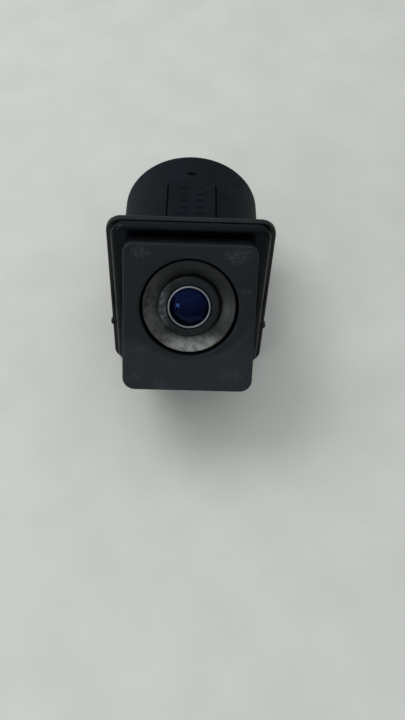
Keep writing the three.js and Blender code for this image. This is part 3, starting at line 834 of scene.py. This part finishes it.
def moulded_plastic(name, base, roughness, uneven, scuffed, lens_side=False):
    """Black moulded plastic: fine grain, faint blotches, hairline scratches, dust and worn edges.

    The shell on the lens side also has a face that is paler in places, a glossier plate, and painted shade:
    deeper black behind its face, on the plate and in the recess round the block.
    """
    worn = (0.05, 0.054, 0.058)
    s = Shader(name)
    blotches = s.between(s.noise(3.5, 4), 0.35, 0.7)
    colour = s.mixed(blotches, base, tuple(1.5 * c for c in base))
    if lens_side:
        colour = s.mixed(rubbed_patches(s), colour, tuple(0.7 * c for c in worn))

    scratches = []
    for turn in ((0.3, 0.1, 0.5), (0.9, -0.4, -0.7), (-0.2, 0.7, 1.9)):
        space = s.stretched((9 * MM, 0.09 * MM, 0.09 * MM), turn)
        scratches.append(s.between(s.noise(1, 1, space), 0.72, 0.78))
    hairlines = s.maths("MAXIMUM", s.maths("MAXIMUM", scratches[0], scratches[1]), scratches[2])
    patches = s.between(s.noise(6, 2), 0.5, 0.62)
    hairlines = s.maths("MULTIPLY", hairlines, patches)
    colour = s.mixed(s.maths("MULTIPLY", hairlines, 0.5 * scuffed), colour, worn)

    dust = s.between(s.noise(0.22, 3), 0.68, 0.76)
    dusty = s.between(s.noise(5, 3), 0.5, 0.7)
    colour = s.mixed(s.maths("MULTIPLY", s.maths("MULTIPLY", dust, dusty), 0.35 * scuffed), colour, worn)

    worn_edges = s.maths("MULTIPLY", s.edges(0.2, 0.02, 0.25), s.between(s.noise(0.8, 4), 0.35, 0.75))
    colour = s.mixed(s.maths("MULTIPLY", worn_edges, 0.6 * scuffed), colour, worn)

    smear = s.between(s.noise(4, 5), 0.42, 0.66)
    rough = s.between(smear, 0, 1, roughness - uneven, roughness + uneven)
    if lens_side:
        rough = s.maths("SUBTRACT", rough, s.maths("MULTIPLY", plate_share(s), 0.17))
        # Painted shade: everything behind the lens face goes three quarters of the way to black, standing
        # in for the shadow on the plate and in the recess round the block.
        colour = s.mixed(s.maths("MULTIPLY", painted_shade_behind_face(s), 0.75), colour, (0, 0, 0))
    rough = s.maths("SUBTRACT", rough, s.maths("MULTIPLY", hairlines, 0.1))
    grain = s.bump(s.noise(0.16, 2), 0.012)
    waves = s.bump(s.noise(5, 1), 0.03, grain)
    s.set(
        Base_Color=colour, Roughness=rough, Normal=waves,
        Specular_IOR_Level=SATIN_GLOSS, Specular_Tint=BLUISH,
    )
    return s.material


def matt(name, base, lighter, roughness, grain=0.2, gloss=0.5):
    """A plain finish with slight changes of colour and roughness, and a fine grain."""
    s = Shader(name)
    cloud = s.between(s.noise(2.0, 4), 0.35, 0.68)
    s.set(
        Base_Color=s.mixed(cloud, base, lighter),
        Roughness=s.between(cloud, 0, 1, roughness, min(1, roughness + 0.1)),
        Normal=s.bump(s.noise(grain, 3), 0.01),
        Specular_IOR_Level=gloss,
    )
    return s.material


def lens_black(name):
    """The anodised lens barrel, paler in streaks on the left side of its head."""
    s = Shader(name)
    cloud = s.between(s.noise(2.0, 4), 0.35, 0.68)
    black = s.mixed(cloud, (0.0025, 0.0038, 0.005), (0.007, 0.009, 0.011))
    # Pale streaks on the left side of the head.
    pale_left_side = s.between(s.along(LENS.translation, AXIS_X), -3.5 * MM, -5.5 * MM)
    streaks = s.between(s.noise(0.7, 4), 0.38, 0.6, 0.25, 1.0)
    dust = s.maths("MULTIPLY", s.maths("MULTIPLY", pale_left_side, streaks), 0.9)
    s.set(
        Base_Color=s.mixed(dust, black, (0.085, 0.1, 0.11)),
        Roughness=s.between(cloud, 0, 1, 0.45, 0.55),
        Normal=s.bump(s.noise(0.2, 3), 0.005),
        Specular_IOR_Level=0.25,
    )
    return s.material


def gloss_trim(name):
    """The funnel round the lens: glossy black, with pale blotches below: dried dirt and painted reflection.
    """
    s = Shader(name)
    # Pale blotches on the lower, upward-facing side: dried dirt, with a painted reflection of the overhead
    # light mixed in.
    lower_side = s.between(s.along(LENS.translation, LENS_UP), -4.2 * MM, -7.8 * MM)
    blotches = s.between(s.noise(1.3, 5), 0.36, 0.62, 0.45, 1.0)
    blotch_core = LENS @ Vector((0.9 * MM, 1.8 * MM, -7.6 * MM))
    gathered = s.between(s.from_point(blotch_core), 7.5 * MM, 1.5 * MM, 0.35, 1.0)
    dirt_and_painted_sheen = s.maths("MULTIPLY", s.maths("MULTIPLY", lower_side, blotches), gathered)
    # A pale film, stronger on the left and fainter above: a trace of dirt, with painted sheen where the
    # light falls.
    less_above = s.between(s.along(LENS.translation, LENS_UP), 6 * MM, -1 * MM, 0.45, 1.0)
    more_on_left = s.between(s.along(LENS.translation, AXIS_X), -2 * MM, -8 * MM, 0.06, 0.28)
    film = s.maths("MULTIPLY", s.between(s.noise(1.6, 5), 0.35, 0.65, 0.3, 1.0), more_on_left)
    film = s.maths("MULTIPLY", film, less_above)
    dirt_and_painted_sheen = s.maths("MAXIMUM", dirt_and_painted_sheen, film)
    s.set(
        Base_Color=s.mixed(dirt_and_painted_sheen, (0.003, 0.0042, 0.0055), (0.24, 0.25, 0.23)),
        Roughness=s.between(dirt_and_painted_sheen, 0, 1, 0.36, 0.6),
        Normal=s.bump(s.noise(0.5, 4), 0.006),
        Specular_IOR_Level=0.3,
    )
    return s.material


def brushed_metal(name, base, roughness):
    """Turned or plated metal with fine tool marks."""
    s = Shader(name)
    marks = s.noise(1, 3, s.stretched((1.5 * MM, 0.05 * MM, 0.05 * MM)))
    spots = s.between(s.noise(0.6, 4), 0.55, 0.75)
    s.set(
        Base_Color=s.mixed(s.maths("MULTIPLY", spots, 0.4), base, tuple(0.6 * c for c in base)),
        Roughness=s.between(marks, 0.3, 0.7, roughness, roughness + 0.15),
        Normal=s.bump(marks, 0.004),
        Metallic=1.0,
    )
    return s.material


def glass(name, tint, reflection, gloss, film):
    """Optical glass with a coating that colours its reflections, and a trace of dirt."""
    s = Shader(name)
    dirt = s.between(s.noise(0.9, 5), 0.5, 0.8)
    s.set(
        Base_Color=s.mixed(dirt, tint, tuple(0.8 * c for c in tint)),
        Roughness=s.between(dirt, 0, 1, 0.02, 0.02 + film),
        Specular_Tint=reflection,
        Transmission_Weight=1.0,
        Specular_IOR_Level=gloss,
        IOR=1.5,
    )
    return s.material


def board_laminate(name):
    """Green solder mask over faint copper tracks."""
    s = Shader(name)
    brick = s.node("ShaderNodeTexBrick")
    s.link(s.space, brick.inputs["Vector"])
    brick.inputs["Scale"].default_value = 500
    brick.inputs["Mortar Size"].default_value = 0.06
    tracks = brick.outputs["Fac"]
    s.set(
        Base_Color=s.mixed(tracks, (0.006, 0.07, 0.025), (0.02, 0.14, 0.05)),
        Roughness=s.between(s.noise(1, 3), 0.3, 0.7, 0.3, 0.42),
        Normal=s.bump(tracks, 0.02),
        IOR=1.5,
    )
    return s.material


def make_materials():
    """Every material of the record, by its slot."""
    return {
        "housing_plastic": moulded_plastic(
            "housing_plastic", (0.0022, 0.0036, 0.0058), 0.5, 0.06, 1.0, lens_side=True,
        ),
        "rear_plastic": moulded_plastic("rear_plastic", (0.002, 0.0033, 0.0056), 0.72, 0.02, 0.5),
        "gasket_rubber": matt(
            "gasket_rubber", (0.003, 0.004, 0.0052), (0.006, 0.0075, 0.009), 0.35, grain=0.12, gloss=0.25,
        ),
        "seal_silicone": matt("seal_silicone", (0.42, 0.1, 0.02), (0.5, 0.13, 0.03), 0.5),
        "vent_white": matt("vent_white", (0.55, 0.57, 0.57), (0.7, 0.72, 0.72), 0.8, grain=0.06),
        "carrier_grey": matt("carrier_grey", (0.035, 0.04, 0.047), (0.05, 0.056, 0.063), 0.5),
        "tin_plate": brushed_metal("tin_plate", (0.62, 0.63, 0.62), 0.3),
        "trim_plastic": gloss_trim("trim_plastic"),
        "lens_black": lens_black("lens_black"),
        "bright_metal": brushed_metal("bright_metal", (0.27, 0.29, 0.315), 0.42),
        "coated_glass": glass("coated_glass", (0.2, 0.26, 0.5), (0.08, 0.16, 0.5), 0.07, 0.02),
        "clear_glass": glass("clear_glass", (0.85, 0.9, 0.95), (0.6, 0.3, 0.5), 0.04, 0.02),
        "filter_glass": glass("filter_glass", (0.55, 0.85, 0.9), (0.8, 0.6, 1.0), 0.06, 0.02),
        "black_shim": matt("black_shim", (0.002, 0.002, 0.002), (0.005, 0.005, 0.005), 0.6),
        "holder_plastic": matt("holder_plastic", (0.009, 0.009, 0.01), (0.014, 0.014, 0.015), 0.55),
        "board_laminate": board_laminate("board_laminate"),
        "chip_black": matt("chip_black", (0.008, 0.008, 0.009), (0.014, 0.014, 0.015), 0.45, grain=0.08),
        "sensor_ceramic": matt("sensor_ceramic", (0.04, 0.045, 0.06), (0.06, 0.065, 0.08), 0.3),
        "screw_steel": brushed_metal("screw_steel", (0.4, 0.42, 0.44), 0.3),
        "flex_amber": matt("flex_amber", (0.45, 0.12, 0.01), (0.55, 0.18, 0.02), 0.35),
        "socket_cream": matt("socket_cream", (0.65, 0.6, 0.48), (0.72, 0.67, 0.55), 0.45),
        "capacitor_yellow": matt("capacitor_yellow", (0.6, 0.32, 0.03), (0.68, 0.38, 0.05), 0.45),
    }


materials = make_materials()

# ---- Assembly ----

for subpart in frame["record"]["subparts"]:
    node = frame["nodes"][subpart["node"]]
    node.data.materials.clear()
    node.data.materials.append(materials[subpart["material_slot"]])

finished(make_front_housing(), "housing_plastic", "front_housing")
finished(make_gasket(), "gasket_rubber", "flange_gasket")
for rear_piece in make_rear_housing():
    finished(rear_piece, "rear_plastic", "rear_housing")
finished(make_carrier(), "carrier_grey", "terminal_carrier")
finished(make_connector_seal(), "seal_silicone", "connector_seal")
finished(make_vent(), "vent_white", "vent_membrane")
for number, (pin_x, pin_z) in enumerate(pin_places(), start=1):
    finished(make_pin(number, pin_x, pin_z), "tin_plate", f"terminal_pin_{number}")
finished(make_trim_ring(), "trim_plastic", "lens_trim_ring")
finished(make_lens_barrel(), "lens_black", "lens_barrel")
finished(make_retaining_ring(), "bright_metal", "lens_retaining_ring")
finished(make_front_glass(), "coated_glass", "front_lens_element")

# ---- Table ----


def make_table():
    """A plain pale table top, large enough to fill every view."""
    half = 2.0
    corners = ((-half, -half), (half, -half), (half, half), (-half, half))
    mesh = bpy.data.meshes.new("table")
    mesh.from_pydata([(x, y, 0) for x, y in corners], [], [(0, 1, 2, 3)])
    table = bpy.data.objects.new("table", mesh)
    bpy.context.scene.collection.objects.link(table)
    s = Shader("table_top")
    cloud = s.between(s.noise(14, 4), 0.3, 0.7)
    s.set(
        Base_Color=s.mixed(cloud, (0.66, 0.67, 0.63), (0.7, 0.71, 0.67)),
        Roughness=0.7,
        Normal=s.bump(s.noise(0.6, 3), 0.01),
        IOR=1.45,
    )
    mesh.materials.append(s.material)


make_table()

# ---- Light ----


def soft_panel(name, place, aim, size, power, colour):
    """A round lamp in metres and watts, turned towards a point."""
    light = bpy.data.lights.new(name, "AREA")
    light.shape = "DISK"
    light.size = size
    light.energy = power
    light.color = colour
    panel = bpy.data.objects.new(name, light)
    panel.location = place
    panel.rotation_euler = (Vector(aim) - Vector(place)).to_track_quat("-Z", "Y").to_euler()
    bpy.context.scene.collection.objects.link(panel)


def soft_surround(towards, dim, bright, colour):
    """A world that is brightest in one direction and fades smoothly to its dim side."""
    world = bpy.data.worlds.new("studio")
    world.use_nodes = True
    tree = world.node_tree
    direction = tree.nodes.new("ShaderNodeTexCoord").outputs["Generated"]
    facing = tree.nodes.new("ShaderNodeVectorMath")
    facing.operation = "DOT_PRODUCT"
    facing.inputs[1].default_value = Vector(towards).normalized()
    strength = tree.nodes.new("ShaderNodeMapRange")
    strength.interpolation_type = "SMOOTHSTEP"
    for name, number in (("From Min", -0.6), ("From Max", 1), ("To Min", dim), ("To Max", bright)):
        strength.inputs[name].default_value = number
    background = tree.nodes["Background"]
    background.inputs["Color"].default_value = (*colour, 1)
    tree.links.new(direction, facing.inputs[0])
    tree.links.new(facing.outputs["Value"], strength.inputs["Value"])
    tree.links.new(strength.outputs["Result"], background.inputs["Strength"])
    bpy.context.scene.world = world


soft_surround((-0.3, 0.15, 1), 0.06, 0.72, (0.96, 0.99, 1.0))
soft_panel("key_panel", (-0.24, 0.12, 0.45), (0, 0, 0.01), 0.3, 0.75, (1.0, 1.0, 0.985))
soft_panel("front_left_panel", (-0.32, -0.36, 0.24), (0, -0.02, 0.03), 0.12, 0.26, (0.96, 0.98, 1.0))
bpy.context.scene.view_settings.view_transform = "Standard"

# ---- Camera ----

CAMERA_LENS = 38.67  # on a 36 mm wide sensor
CAMERA_YAW = math.radians(1.981)  # about the housing frame's z, then its x, then its y
CAMERA_PITCH = math.radians(49.795)
CAMERA_ROLL = math.radians(3.036)
ORIGIN_RIGHT = -2.852  # where the housing frame's origin lies from the camera
ORIGIN_FORWARD = 165.407
ORIGIN_UP = 13.217


def make_camera():
    """The photo's camera, fixed to the housing frame."""
    turn = (
        Matrix.Rotation(CAMERA_ROLL, 3, "Y")
        @ Matrix.Rotation(CAMERA_PITCH, 3, "X")
        @ Matrix.Rotation(CAMERA_YAW, 3, "Z")
    )
    right, forward, up = turn
    away = Vector((ORIGIN_RIGHT, ORIGIN_FORWARD, ORIGIN_UP)) * MM
    place = -(turn.transposed() @ away)
    axes = Matrix((right, up, -forward)).transposed().to_4x4()
    data = bpy.data.cameras.new("camera")
    data.lens = CAMERA_LENS
    data.sensor_width = 36
    data.clip_start = 0.005
    camera = bpy.data.objects.new("camera", data)
    camera.matrix_world = HOUSING @ Matrix.Translation(place) @ axes
    bpy.context.scene.collection.objects.link(camera)
    bpy.context.scene.camera = camera


make_camera()
